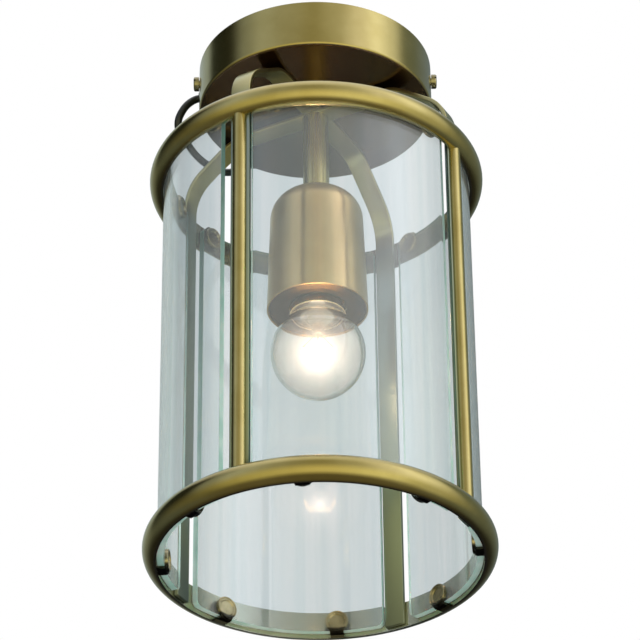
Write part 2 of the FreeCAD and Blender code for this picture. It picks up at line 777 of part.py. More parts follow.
def bulb_glass():
    """Clear golf-ball bulb with a necked open end that goes into the cap."""
    outer_pole, outer_arcs, outer_throat = bulb_outline(0.0)
    inner_pole, inner_arcs, inner_throat = bulb_outline(bulb_wall)
    lip = flat_point(0, cap_lip + seat_gap)
    edges = outer_arcs + inner_arcs
    outer_end = flat_point(cap_radius - cap_wall - seat_gap, outer_throat.z + seat_gap)
    edges += [line(outer_throat, outer_end), line(outer_end, outer_end + lip),
              line(outer_end + lip, inner_throat + lip + flat_point(0, seat_gap)),
              line(inner_throat + lip + flat_point(0, seat_gap), inner_throat), line(inner_pole, outer_pole)]
    return Part.Face(Part.Wire(Part.__sortEdges__(edges))).revolve(ORIGIN, AXIS, 360)


def bulb_cap():
    """Screw cap of the bulb, thread crests left plain, with a coned top."""
    inner = cap_radius - cap_wall
    cone_bottom = cap_top - cap_cone_height
    return turned([(inner, cap_bottom, 0), (cap_radius, cap_bottom, 0),
                   (cap_radius, cone_bottom, cap_shoulder_radius), (cap_crown_radius, cap_top, 0),
                   (cap_crown_radius - cap_wall, cap_top - cap_wall, 0), (inner, cone_bottom - cap_wall, 0)])


def bulb_insulator():
    """Dark glass button between cap and eyelet."""
    low = cap_top - insulator_depth
    return turned([(0, low, 0), (insulator_radius, low, 0), (insulator_radius, cap_top + seat_gap, 0),
                   (eyelet_radius + eyelet_slope, insulator_top, cap_shoulder_radius / 2),
                   (0, insulator_top, 0)])


def bulb_eyelet():
    """Soldered centre contact of the bulb."""
    return turned([(0, insulator_top, 0), (eyelet_radius, insulator_top, 0),
                   (eyelet_radius - eyelet_slope, eyelet_top, eyelet_slope), (0, eyelet_top, 0)])


def bulb_mount():
    """Flared glass stem inside the bulb that carries the wires."""
    flare = bulb_neck_radius - bulb_wall - glass_play
    top = cap_bottom + cap_lip
    return turned([(0, top, 0), (flare, top, 0), (flare, top - mount_rim_height, 0),
                   (mount_waist_radius, top - mount_flare_height, mount_waist_radius),
                   (mount_top_radius, mount_tip_z, mount_rim_height), (0, mount_tip_z, 0)])


def filament_points():
    """Zigzag of the filament round most of a circle."""
    z = bulb_centre_z + filament_lift
    points = []
    for k in range(filament_runs + 1):
        lift = filament_swing if k % 2 else -filament_swing
        azimuth = filament_span * (k / filament_runs - 0.5)
        points.append(polar(azimuth, filament_radius, z + lift))
    return points


def bulb_filament():
    """Filament hung in a ring of short straight runs."""
    return tube_along(filament_points(), [filament_bend] * (filament_runs - 1), filament_wire / 2)


def bulb_supports():
    """Two lead wires and three hooks that hold the filament."""
    points = filament_points()
    wires = []
    for k in supported_points:
        aim = points[k]
        start = Vector(aim.x * wire_root_share, aim.y * wire_root_share, mount_tip_z - seat_gap)
        reach = aim - start
        end = start + reach * (1 - (filament_wire + support_wire) / 2 / reach.Length)
        wires.append(rod_between(start, end, support_wire / 2))
    return Part.makeCompound(wires)


POST_NAMES = ("front_left", "front_right", "rear_right", "rear_left")
PANE_NAMES = ("front", "right", "rear", "left")


def all_pieces():
    """Every node's name with its solid."""
    pieces = {
        "ceiling_bracket": ceiling_bracket(),
        "side_screw_right": side_screw(90),
        "side_screw_left": side_screw(-90),
        "canopy": canopy(),
        "cord_gland_side": cord_gland(*cord_exit),
        "cord_gland_rear": cord_gland(*cord_return),
        "feed_cord": feed_cord(),
        "terminal_block": terminal_block(),
        "terminal_block_screws": terminal_block_screws(),
        "live_wire": supply_wire(1, 0),
        "neutral_wire": supply_wire(-1, -1),
        "earth_wire": earth_wire(),
        "earth_stud": earth_stud(),
        "threaded_nipple": threaded_nipple(),
        "nipple_washer": nipple_washer(),
        "nipple_nut": nipple_nut(),
        "stem_tube": stem_tube(),
        "strap_upper": cage_strap(first_post_azimuth, 0),
        "strap_lower": cage_strap(first_post_azimuth + post_step, 1),
        "top_ring": half_round_ring(top_ring_z),
        "bottom_ring": half_round_ring(bottom_ring_z),
        "top_clips": clip_set(top_ring_z, top_clip_spread, 1),
        "bottom_clips": clip_set(bottom_ring_z, bottom_clip_spread, -1),
        "holder_sleeve": holder_sleeve(),
        "sleeve_nut": sleeve_nut(),
        "holder_flange": holder_flange(),
        "holder_screws": holder_screws(),
        "porcelain_body": porcelain_body(),
        "holder_terminals": holder_terminals(),
        "screw_shell": screw_shell(),
        "centre_contact": centre_contact(),
        "bulb_glass": bulb_glass(),
        "bulb_cap": bulb_cap(),
        "bulb_insulator": bulb_insulator(),
        "bulb_eyelet": bulb_eyelet(),
        "bulb_mount": bulb_mount(),
        "bulb_supports": bulb_supports(),
        "bulb_filament": bulb_filament(),
    }
    for name, azimuth in zip(POST_NAMES, post_azimuths()):
        pieces["upright_rod_" + name] = upright_rod(azimuth)
    for k, name in enumerate(PANE_NAMES):
        pieces["glass_pane_" + name] = glass_pane(k)
    return pieces


def main():
    """Write one file for each piece."""
    os.makedirs("parts", exist_ok=True)
    for name, shape in all_pieces().items():
        if not shape.isValid():
            print("not valid:", name)
        print("%-24s solids %d volume %.1f" % (name, len(shape.Solids), shape.Volume))
        shape.exportStep("parts/%s.step" % name)


main()
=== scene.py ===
"""Looks of the porch ceiling lantern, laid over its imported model.

The model's own frame: +Z up into the ceiling, the lantern hangs towards -Z, and an azimuth is in
degrees from the front (-Y) towards +X. Sizes in the classes are in millimetres unless they say
otherwise; Blender gets metres.
"""

import json
import logging
import math
from abc import ABC, abstractmethod
from dataclasses import dataclass, field
from enum import Enum
from typing import Any, ClassVar

import bmesh
import bpy
import numpy as np
from mathutils import Matrix, Vector

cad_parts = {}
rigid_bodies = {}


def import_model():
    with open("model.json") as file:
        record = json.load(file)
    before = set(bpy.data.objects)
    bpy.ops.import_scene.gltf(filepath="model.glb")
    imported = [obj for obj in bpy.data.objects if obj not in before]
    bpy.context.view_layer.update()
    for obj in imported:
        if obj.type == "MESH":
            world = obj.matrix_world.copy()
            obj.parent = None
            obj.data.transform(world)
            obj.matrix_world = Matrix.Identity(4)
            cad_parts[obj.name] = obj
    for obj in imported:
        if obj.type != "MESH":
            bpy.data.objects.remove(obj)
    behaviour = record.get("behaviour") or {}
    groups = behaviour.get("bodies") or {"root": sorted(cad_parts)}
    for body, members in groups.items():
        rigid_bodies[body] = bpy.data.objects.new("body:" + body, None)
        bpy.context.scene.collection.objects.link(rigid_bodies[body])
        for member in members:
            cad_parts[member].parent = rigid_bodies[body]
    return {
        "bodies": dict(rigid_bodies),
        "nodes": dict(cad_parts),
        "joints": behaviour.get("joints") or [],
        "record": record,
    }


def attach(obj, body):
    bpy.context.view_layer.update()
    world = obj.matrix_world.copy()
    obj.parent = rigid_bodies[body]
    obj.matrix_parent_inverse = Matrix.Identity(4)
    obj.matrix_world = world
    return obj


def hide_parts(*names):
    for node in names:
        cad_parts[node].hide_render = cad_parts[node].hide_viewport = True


LOG = logging.getLogger("lantern")
Socket = bpy.types.NodeSocket
Stops = tuple[tuple[float, str], ...]

MM = 0.001
MERGE = 1e-7                # metres between points that are one and the same
FIRST_POST = -28.5          # azimuth of the front left rod and strap leg
QUARTER = 90.0
POSTS = 4
UNSEEN_LAMP = {"visible_camera": False, "visible_glossy": False, "visible_transmission": False}
CLEAR_IOR = 1.5             # glass, glaze and plastic alike
CLOUD_ENDS = (0.35, 0.65)   # between these lie most values of a noise
NOISE_ROUGHNESS = 0.55
MIX_FIRST, MIX_SECOND, MIX_COLOUR = 6, 7, 2   # a Mix node's colour inputs and its colour output


# ---- colours and nodes ----

def linear(hex_colour: str) -> tuple[float, float, float, float]:
    """Turns an sRGB hex value to linear light.

    Args:
        hex_colour: six hex digits, with or without a leading hash.

    Returns:
        Red, green, blue and an alpha of 1.
    """
    digits = hex_colour.lstrip("#")
    parts = [int(digits[k:k + 2], 16) / 255 for k in (0, 2, 4)]
    red, green, blue = (p / 12.92 if p <= 0.04045 else ((p + 0.055) / 1.055) ** 2.4 for p in parts)
    return red, green, blue, 1.0


@dataclass(frozen=True)
class Nodes:
    """Short ways to add nodes to one tree. Places and sizes are in metres unless named mm."""

    tree: bpy.types.NodeTree

    def add(self, kind: str, settings: dict | None = None) -> bpy.types.Node:
        """Adds a node with its settings and links.

        Args:
            kind: the node's type name after "ShaderNode".
            settings: attributes by name, and input sockets by name or number. An input takes
                the output socket that feeds it, an sRGB hex colour or a plain value.

        Returns:
            The new node.
        """
        node = self.tree.nodes.new("ShaderNode" + kind)
        for key, value in (settings or {}).items():
            if isinstance(key, str) and hasattr(node, key):
                setattr(node, key, value)
            elif isinstance(value, Socket):
                self.tree.links.new(value, node.inputs[key])
            else:
                plain = linear(value) if isinstance(value, str) else value
                node.inputs[key].default_value = plain
        return node

    def maths(self, operation: str, *values: Socket | float) -> Socket:
        """Socket of a Math node's result, from its inputs in order."""
        made = self.add("Math", {"operation": operation, **dict(enumerate(values))})
        return made.outputs["Value"]

    def noise(self, size_mm: float, place: Socket, detail: float = 2.0) -> Socket:
        """Socket of even noise with features of a real size; detail counts its finer layers."""
        made = self.add("TexNoise", {"Scale": 1 / (size_mm * MM), "Detail": detail,
                                     "Roughness": NOISE_ROUGHNESS, "Vector": place})
        return made.outputs["Fac"]

    def span(self, value: Socket, low: float, high: float,
             ends: tuple[float, float] = CLOUD_ENDS) -> Socket:
        """Socket of a value mapped from its two ends to low and high, and stopped there."""
        made = self.add("MapRange", {"From Min": ends[0], "From Max": ends[1], "To Min": low,
                                     "To Max": high, "Value": value})
        return made.outputs["Result"]

    def mixed(self, share: Socket, first: Socket | str, second: Socket | str) -> Socket:
        """Socket of a mix of two colours, each a socket or an sRGB hex value."""
        made = self.add("Mix", {"data_type": "RGBA", "Factor": share, MIX_FIRST: first,
                                MIX_SECOND: second})
        return made.outputs[MIX_COLOUR]

    def clouds(self, place: Socket, size_mm: float, colour: str, shade: str,
               detail: float = 2.0) -> Socket:
        """Socket of soft clouds of one sRGB hex colour in another."""
        return self.mixed(self.span(self.noise(size_mm, place, detail), 0.0, 1.0), colour, shade)

    def relief(self, height: Socket, strength: float, depth_mm: float) -> Socket:
        """Socket of a normal that has the small relief of a noise value."""
        made = self.add("Bump", {"Strength": strength, "Distance": depth_mm * MM,
                                 "Height": height})
        return made.outputs["Normal"]

    def place(self) -> Socket:
        """Socket of the piece's own coordinates."""
        return self.add("TexCoord").outputs["Object"]

    def height(self, place: Socket) -> Socket:
        """Socket of a place's height."""
        return self.add("SeparateXYZ", {"Vector": place}).outputs["Z"]

    def length(self, place: Socket) -> Socket:
        """Socket of a place's distance from the origin."""
        return self.add("VectorMath", {"operation": "LENGTH", 0: place}).outputs["Value"]

    def reach(self, place: Socket) -> Socket:
        """Distance of a place from the lantern's axis.

        Args:
            place: coordinates.

        Returns:
            The distance's socket.
        """
        split = self.add("SeparateXYZ", {"Vector": place})
        flat = self.add("CombineXYZ", {"X": split.outputs["X"], "Y": split.outputs["Y"]})
        return self.length(flat.outputs["Vector"])


# ---- finishes ----

class Grain(Enum):
    """Which way the tool marks of a metal run."""

    TURNED = "round the lantern's axis, as from a lathe or rolled bar"
    DRAWN = "up and down, as on drawn rod"
    EVEN = "all ways, as from tumbling or plating"


class PaintedShadeAlong(Enum):
    """The coordinate that a painted shade follows."""

    HEIGHT = "height"
    RADIUS = "distance from the axis"


@dataclass(frozen=True)
class Finish(ABC):
    """A surface of the real lantern, made once and shared by its pieces."""

    output: ClassVar[str] = "Surface"
    title: str

    def material(self) -> bpy.types.Material:
        """Gives the finish's material, made on first use.

        Returns:
            The material that all pieces of this finish share.
        """
        found = bpy.data.materials.get(self.title)
        if found is None:
            found = bpy.data.materials.new(self.title)
            found.use_nodes = True
            found.node_tree.nodes.clear()
            nodes = Nodes(found.node_tree)
            nodes.add("OutputMaterial", {self.output: self.lay(nodes)})
        return found

    @abstractmethod
    def lay(self, nodes: Nodes) -> Socket:
        """Adds the material's nodes and returns the shader socket."""


@dataclass(frozen=True)
class Metal(Finish):
    """A metal with soft cloudy toning, fine tool marks and, where it has one, clear lacquer.

    The toning gives patches a few centimetres wide, the tool marks a slight streak in the
    gloss, and the lacquer a paler second highlight on top of the metal's own. A spun metal
    spreads what it mirrors round its axis.
    """

    colour: str
    shade: str
    roughness: float
    grain: Grain = Grain.EVEN
    cloud_mm: float = 22.0
    cloud_detail: float = 4.0
    mark_mm: float = 0.45
    mark_depth_mm: float = 0.002
    mark_strength: float = 0.3
    mark_stretch: float = 0.01
    gloss_spread: float = 0.1
    lacquer: float = 0.0
    lacquer_roughness: float = 0.12
    rim: str = "#FFFFFF"
    spun: float = 0.0
    spun_turn: float = 0.25

    def tone(self, nodes: Nodes, place: Socket) -> Socket:
        """Colour socket: soft clouds between the metal's two colours."""
        return nodes.clouds(place, self.cloud_mm, self.colour, self.shade, self.cloud_detail)

    def marks(self, nodes: Nodes, place: Socket) -> Socket:
        """Coordinates that hardly change along the tool marks.

        Args:
            nodes: the material's nodes.
            place: object coordinates.

        Returns:
            The coordinates' socket.
        """
        if self.grain is Grain.EVEN:
            return place
        if self.grain is Grain.DRAWN:
            drawn = nodes.add("Mapping", {"Scale": (1, 1, self.mark_stretch), "Vector": place})
            return drawn.outputs["Vector"]
        ring = nodes.add("CombineXYZ", {"X": nodes.reach(place), "Z": nodes.height(place)})
        return ring.outputs["Vector"]

    def lay(self, nodes: Nodes) -> Socket:
        """Metal shader: clouds to its colour, tool marks to its gloss and relief.

        Args:
            nodes: the material's nodes.

        Returns:
            The shader socket.
        """
        place = nodes.place()
        settings = {"Metallic": 1.0, "Base Color": self.tone(nodes, place),
                    "Roughness": self.roughness, "Specular Tint": self.rim,
                    "Coat Weight": self.lacquer, "Coat Roughness": self.lacquer_roughness}
        if self.mark_depth_mm:
            streak = nodes.noise(self.mark_mm, self.marks(nodes, place))
            settings["Roughness"] = nodes.span(streak, self.roughness * (1 - self.gloss_spread),
                                               self.roughness * (1 + self.gloss_spread))
            settings["Normal"] = nodes.relief(streak, self.mark_strength, self.mark_depth_mm)
        if self.spun:
            around = nodes.add("Tangent", {"direction_type": "RADIAL", "axis": "Z"})
            settings |= {"Anisotropic": self.spun, "Anisotropic Rotation": self.spun_turn,
                         "Tangent": around.outputs["Tangent"]}
        return nodes.add("BsdfPrincipled", settings).outputs["BSDF"]


@dataclass(frozen=True)
class MetalWithPaintedShade(Metal):
    """Metal whose low or inner part has a painted shade: one plain tone that stands in for its
    shade.

    That painted shade ends at the blend's first value, and the metal's clouds begin at its second.
    """

    # painted shade: the plain tone of the low or inner part, the coordinate it follows, and where
    # it blends
    painted_shade: str = "#808080"
    along: PaintedShadeAlong = PaintedShadeAlong.HEIGHT
    shade_blend_mm: tuple[float, float] = (0.0, 1.0)

    def tone(self, nodes: Nodes, place: Socket) -> Socket:
        """Colour of the metal with its painted shade, by height or by distance from the axis.

        Args:
            nodes: the material's nodes.
            place: object coordinates.

        Returns:
            The colour socket.
        """
        measure = nodes.height if self.along is PaintedShadeAlong.HEIGHT else nodes.reach
        low, high = self.shade_blend_mm
        # painted shade: the plain tone before the blend, the metal's clouds after it
        share = nodes.span(measure(place), 0.0, 1.0, (low * MM, high * MM))
        return nodes.mixed(share, self.painted_shade, super().tone(nodes, place))


@dataclass(frozen=True)
class Moulded(Finish):
    """Plastic, rubber, paint or porcelain: one colour, slightly uneven, with a fine skin."""

    colour: str
    shade: str
    roughness: float
    cloud_mm: float = 8.0
    cloud_detail: float = 3.0
    skin_mm: float = 0.35
    skin_depth_mm: float = 0.01
    skin_strength: float = 0.6
    gloss_spread: float = 0.15
    glaze: float = 0.0
    glaze_roughness: float = 0.06

    def lay(self, nodes: Nodes) -> Socket:
        """Plastic shader: clouds to its colour, skin noise to its gloss and relief.

        Args:
            nodes: the material's nodes.

        Returns:
            The shader socket.
        """
        place = nodes.place()
        skin = nodes.noise(self.skin_mm, place)
        colour = nodes.clouds(place, self.cloud_mm, self.colour, self.shade, self.cloud_detail)
        gloss = nodes.span(skin, self.roughness * (1 - self.gloss_spread),
                           self.roughness * (1 + self.gloss_spread))
        shader = nodes.add("BsdfPrincipled", {
            "Base Color": colour, "Roughness": gloss, "IOR": CLEAR_IOR,
            "Coat Weight": self.glaze, "Coat Roughness": self.glaze_roughness,
            "Normal": nodes.relief(skin, self.skin_strength, self.skin_depth_mm)})
        return shader.outputs["BSDF"]


@dataclass(frozen=True)
class ClearGlass(Finish):
    """Clear glass. Lamps shine through it, and it is slightly wavy, as bent or blown glass is.

    The bloom is the thin grey film on glass that hangs outdoors: it veils what is dark behind
    it. Draw lines are the upright streaks that rolling and bending leave in the sheet.
    """

    tint: str
    wave_mm: float = 60.0
    wave_detail: float = 1.0
    wave_depth_mm: float = 0.02
    wave_strength: float = 0.5
    let_through: str = "#F2F5F5"
    bloom: float = 0.0
    streak: str = ""
    streak_mm: float = 5.0
    streak_stretch: float = 0.02

    def lay(self, nodes: Nodes) -> Socket:
        """Smooth glass, replaced by a clear shader for the rays from the lamps.

        Args:
            nodes: the material's nodes.

        Returns:
            The shader socket.
        """
        place = nodes.place()
        wave = nodes.noise(self.wave_mm, place, self.wave_detail)
        colour = self.tint
        if self.streak:
            upright = nodes.add("Mapping", {"Scale": (1, 1, self.streak_stretch), "Vector": place})
            colour = nodes.clouds(upright.outputs["Vector"], self.streak_mm, self.tint,
                                  self.streak)
        glass = nodes.add("BsdfPrincipled", {
            "Base Color": colour, "Roughness": 0.0, "IOR": CLEAR_IOR,
            "Transmission Weight": 1.0 - self.bloom,
            "Normal": nodes.relief(wave, self.wave_strength, self.wave_depth_mm)})
        clear = nodes.add("BsdfTransparent", {"Color": self.let_through})
        lamp_ray = nodes.add("LightPath").outputs["Is Shadow Ray"]
        made = nodes.add("MixShader", {0: lamp_ray, 1: glass.outputs["BSDF"],
                                       2: clear.outputs["BSDF"]})
        return made.outputs["Shader"]


@dataclass(frozen=True)
class PolishedEdge(Finish):
    """The ground and polished edge of a pane: it gathers light and shows the glass's own aqua.

    Its light and shade are painted by height: palest low down, where light comes in from the
    open bottom, and a painted shade of deep teal near the canopy.
    """

    colour: str
    shade: str
    # painted shade at the top, and the heights between which it turns to painted light
    painted_shade_teal: str = "#5E867C"
    painted_light_heights_mm: tuple[float, float] = (-95.0, -215.0)
    cloud_mm: float = 14.0
    roughness: float = 0.25
    polish_roughness: float = 0.03
    depth: float = 0.35
    spread_mm: tuple[float, float, float] = (0.6, 1.4, 1.3)

    def lay(self, nodes: Nodes) -> Socket:
        """Satin aqua body under a clear polish, a little uneven along its length, with painted
        shade at the top and painted light low down.

        Args:
            nodes: the material's nodes.

        Returns:
            The shader socket.
        """
        place = nodes.place()
        pale = nodes.clouds(place, self.cloud_mm, self.colour, self.shade)
        high, low = (h * MM for h in self.painted_light_heights_mm)
        # painted light and shade by height: deep teal at the top, the edge's own pale aqua low down
        colour = nodes.mixed(nodes.span(nodes.height(place), 0.0, 1.0, (high, low)), self.painted_shade_teal,
                             pale)
        shader = nodes.add("BsdfPrincipled", {
            "Base Color": colour, "Roughness": self.roughness, "IOR": CLEAR_IOR,
            "Coat Weight": 1.0, "Coat Roughness": self.polish_roughness,
            "Subsurface Weight": self.depth, "Subsurface Scale": 1.0,
            "Subsurface Radius": [s * MM for s in self.spread_mm]})
        return shader.outputs["BSDF"]


@dataclass(frozen=True)
class Glowing(Finish):
    """Hot tungsten: it gives its own warm light, a little less at the cooler hooks."""

    colour: str
    cooler: str
    wire: str
    strength: float
    cloud_mm: float = 3.0
    cloud_detail: float = 1.0
    roughness: float = 0.4

    def lay(self, nodes: Nodes) -> Socket:
        """Grey metal that gives light, its colour changing slightly along the wire.

        Args:
            nodes: the material's nodes.

        Returns:
            The shader socket.
        """
        light = nodes.clouds(nodes.place(), self.cloud_mm, self.colour, self.cooler,
                             self.cloud_detail)
        shader = nodes.add("BsdfPrincipled", {
            "Base Color": self.wire, "Metallic": 1.0, "Roughness": self.roughness,
            "Emission Color": light, "Emission Strength": self.strength})
        return shader.outputs["BSDF"]


# Colours and lacquer of every bronzed piece: olive brass with a pale line along its edges.
BRONZE = {"colour": "#B0A36C", "shade": "#A4965C", "lacquer": 0.4, "rim": "#F0F4F2"}

# A long soft highlight round the bar, and a painted shade on the flat inside: it is painted greyer
# and duller.
RING = MetalWithPaintedShade("half-round brass, bronzed and lacquered", **BRONZE, roughness=0.20,
                 grain=Grain.TURNED, painted_shade="#A6A494", along=PaintedShadeAlong.RADIUS, shade_blend_mm=(75.2, 76.0))
# Broad upright bands of light and dark on the wall, and a painted shade underneath: the underside
# is painted dark brown.
BRONZED = MetalWithPaintedShade("satin brass, bronzed and lacquered", **BRONZE, roughness=0.20,
                    grain=Grain.TURNED, painted_shade="#6C5440", shade_blend_mm=(-25.0, -24.6))
# One narrow highlight along each rod and the stem, with faint drawing lines.
BRONZED_ROD = Metal("drawn brass rod, bronzed and lacquered", **BRONZE, roughness=0.26,
                    grain=Grain.DRAWN)
# The dark brown band between the bright sleeve and the lit bulb.
HOLDER_RIM = Metal("pressed brass holder rim, browned", "#5A4428", "#4C3A1F", 0.24, Grain.TURNED,
                   cloud_mm=6.0, mark_depth_mm=0.0004, lacquer=0.1)
# Smooth olive strip over the top ring, with a painted shade: it is painted grey-green where it
# stands behind the glass.
STRIP = MetalWithPaintedShade("brass strip, bronzed", "#B4AC7C", "#A69E70", 0.28, mark_depth_mm=0.0,
                  lacquer=0.35, rim="#E4EEEA", painted_shade="#8C9892", shade_blend_mm=(-66.0, -58.0))
# Small bright discs, which set the rhythm round both rings, with a painted shade: the foot under
# the glass is painted near black.
CLIP = MetalWithPaintedShade("pressed brass clip, bronzed", "#B0A68A", "#8E866A", 0.18, cloud_mm=6.0,
                 mark_depth_mm=0.0005, lacquer=0.5, painted_shade="#24231C", shade_blend_mm=(-274.2, -273.2))
# A dull greyish head that stands out from the canopy.
SCREW = Metal("bronzed screw head", "#A09A7C", "#857E60", 0.24, cloud_mm=3.0,
              mark_depth_mm=0.0005)
# The palest metal: champagne, with soft upright bands that run over the shoulder.
CHAMPAGNE = Metal("spun brass, satin and lacquered", "#E4C48C", "#DAB880", 0.3, Grain.TURNED,
                  mark_depth_mm=0.0, lacquer=0.2, rim="#F0F4F6", spun=0.85)
# Cold grey of hidden ironmongery, seen when the lantern is down.
ZINC = Metal("zinc-plated steel", "#B4B8BB", "#9CA1A6", 0.34, cloud_mm=5.0, mark_depth_mm=0.008)
# Raw yellow of screws and contacts.
BRIGHT_BRASS = Metal("plain machined brass", "#D8BC74", "#C2A35C", 0.24, cloud_mm=4.0)
# Silvery cap, warmer than zinc.
NICKEL = Metal("nickel-plated brass cap", "#C9C4B8", "#B4AEA0", 0.22, Grain.TURNED, cloud_mm=6.0)
# The thin bright line where bulb and holder meet: the bead mirrors the glow, and its colour, far
# paler than the cap's nickel, is a painted highlight.
CAP_EDGE_HIGHLIGHT = Metal("rolled edge of the bulb cap", "#FFF4DC", "#F4E6C8", 0.3, Grain.TURNED,
                 cloud_mm=6.0, mark_depth_mm=0.0003)
# Warm white with a wet gloss, up in the sleeve.
PORCELAIN = Moulded("white glazed porcelain", "#EDEAE0", "#E2DDD0", 0.3, cloud_mm=10.0,
                    skin_mm=0.8, skin_depth_mm=0.02, glaze=1.0)
# Dull black ring round the flex.
RUBBER = Moulded("black rubber gland", "#17191A", "#1E2122", 0.55)
# Black with a bluish sheen along its upper side.
FLEX = Moulded("black flex sheath", "#0C1112", "#12191A", 0.32, cloud_mm=6.0, skin_mm=0.5,
               skin_depth_mm=0.015)
# Milky block over the canopy.
NYLON = Moulded("natural nylon block", "#E4E2D8", "#D8D5C8", 0.4)
# The three wires' colours, as in any supply cable.
BROWN_WIRE = Moulded("brown wire insulation", "#5A3420", "#4A2A1A", 0.35)
BLUE_WIRE = Moulded("blue wire insulation", "#2A5C9C", "#234E88", 0.35)
GREEN_WIRE = Moulded("green and yellow wire insulation", "#8FA82C", "#6E9130", 0.35)
# Glassy black round the eyelet.
CAP_GLASS = Moulded("black glass button", "#141216", "#1C1A20", 0.12, glaze=0.5)
# Nearly clear, with a thin grey veil and soft upright streaks.
PANE = ClearGlass("bent float glass", "#F4F8F9", bloom=0.055, streak="#E8F1F3")
# The aqua lines that draw each pane's outline, with painted shade at the top and painted light low
# down.
EDGE = PolishedEdge("polished glass edge", "#D6EEE6", "#B2DACE")
# Very clear and a little uneven, so that the lit bulb sparkles.
BLOWN = ClearGlass("blown clear bulb glass", "#F8F6F2", wave_mm=12.0, wave_depth_mm=0.03,
                   let_through="#FFFFFF")
# Thicker, greyer glass with ripples, in the bulb's neck.
STEM_GLASS = ClearGlass("pressed lead glass stem", "#F2EEE6", wave_mm=5.0, wave_depth_mm=0.15,
                        let_through="#FFFFFF")
# The white-hot source in the bulb's middle.
TUNGSTEN = Glowing("hot tungsten filament", "#FFC27A", "#FFD9A8", "#6A6864", 600.0)
# Thin golden threads that hold the filament.
WARM_WIRE = Metal("nickel lead wire", "#E4CFA0", "#D0B888", 0.2, cloud_mm=3.0)
# Off-white ground that only lights the lantern from below.
FLOOR_PAINT = Moulded("pale painted floor", "#EDEDEA", "#E4E4E0", 0.6, cloud_mm=300.0, skin_mm=4.0,
                      skin_depth_mm=0.1)


# ---- surfaces ----

def set_up(thing: Any, **settings: Any) -> Any:
    """Sets attributes of a Blender object, data block or modifier and returns it."""
    for name, value in settings.items():
        setattr(thing, name, value)
    return thing


def show(name: str, data: bpy.types.ID, **settings: Any) -> bpy.types.Object:
    """Puts a new object in the scene.

    Args:
        name: the object's name.
        data: its mesh, curve, light or camera.
        **settings: its attributes.

    Returns:
        The object.
    """
    made = bpy.data.objects.new(name, data)
    bpy.context.scene.collection.objects.link(made)
    return set_up(made, **settings)


def circle(count: int) -> np.ndarray:
    """Angles of points all round a circle."""
    return np.linspace(0, 2 * np.pi, count, endpoint=False)


def at_azimuth(angle: np.ndarray, radius: np.ndarray | float, height: np.ndarray) -> np.ndarray:
    """Points (r sin a, -r cos a, z) from azimuths in radians, radii and heights."""
    flat = np.stack([radius * np.sin(angle), -radius * np.cos(angle)], axis=-1)
    return np.concatenate([flat, (height + 0 * angle)[..., None]], axis=-1)


@dataclass
class Surface:
    """Points of one or more grids, in mm, with their four-sided faces."""

    points: np.ndarray
    faces: np.ndarray

    @classmethod
    def grid(cls, points: np.ndarray, round_u: bool = False, round_v: bool = False) -> "Surface":
        """Makes a surface from a grid of points, point (i, j) joined to (i+1, j) and (i, j+1).

        Args:
            points: array of shape (rows, columns, 3).
            round_u: joins the last row to the first.
            round_v: joins the last column to the first.

        Returns:
            The surface.
        """
        rows, columns = points.shape[:2]
        i = np.arange(rows if round_u else rows - 1)[:, None]
        j = np.arange(columns if round_v else columns - 1)[None, :]
        a, b = (i % rows) * columns + j, ((i + 1) % rows) * columns + j
        step = (j + 1) % columns - j
        quads = np.stack([a, b, b + step, a + step], axis=-1).reshape(-1, 4)
        return cls(points.reshape(-1, 3), quads)

    @classmethod
    def joined(cls, parts: list["Surface"]) -> "Surface":
        """Puts several surfaces in one and renumbers their faces."""
        starts = np.cumsum([0] + [len(p.points) for p in parts[:-1]])
        return cls(np.concatenate([p.points for p in parts]),
                   np.concatenate([p.faces + s for p, s in zip(parts, starts)]))

    def turned(self, azimuth: float) -> "Surface":
        """Turns a surface that is drawn along +X about Z.

        Args:
            azimuth: where its +X goes, in degrees.

        Returns:
            The turned surface.
        """
        angle = math.radians(azimuth - QUARTER)
        matrix = np.array([[math.cos(angle), -math.sin(angle), 0],
                           [math.sin(angle), math.cos(angle), 0], [0, 0, 1]])
        return Surface(self.points @ matrix.T, self.faces)

    def piece(self, name: str, finishes: list[Finish]) -> bpy.types.Object:
        """Makes the Blender object: doubles merged, faces outwards, shaded smooth.

        Args:
            name: the piece's name.
            finishes: its materials in order; the faces take the first.

        Returns:
            The object, in the scene.
        """
        mesh = bpy.data.meshes.new(name)
        mesh.from_pydata((self.points * MM).tolist(), [], self.faces.tolist())
        for finish in finishes:
            mesh.materials.append(finish.material())
        work = bmesh.new()
        work.from_mesh(mesh)
        bmesh.ops.remove_doubles(work, verts=work.verts, dist=MERGE)
        bmesh.ops.recalc_face_normals(work, faces=work.faces)
        work.to_mesh(mesh)
        work.free()
        mesh.shade_smooth()
        return show(name, mesh)


def rounded_corner(before: np.ndarray, corner: np.ndarray, after: np.ndarray, radius: float,
                   count: int) -> np.ndarray:
    """Points of the tangent arc that rounds one corner of a flat outline.

    The arc's centre lies on the corner's bisector at radius / cos(half turn), and the arc
    runs from radius * tan(half turn) before the corner to as far after it.

    Args:
        before: point before the corner (x, y).
        corner: the corner.
        after: point after it.
        radius: radius of the rounding.
        count: number of points.

    Returns:
        Array of shape (count, 2).
    """
    into = (corner - before) / np.linalg.norm(corner - before)
    out = (after - corner) / np.linalg.norm(after - corner)
    half = math.acos(np.clip(into @ out, -1, 1)) / 2
    side = (out - into) / np.linalg.norm(out - into)
    centre = corner + side * radius / math.cos(half)
    start = complex(*(corner - into * radius * math.tan(half) - centre))
    turn = math.copysign(1, into[0] * out[1] - into[1] * out[0])
    arc = start * np.exp(1j * turn * np.linspace(0, 2 * half, count))
    return centre + np.stack([arc.real, arc.imag], axis=-1)


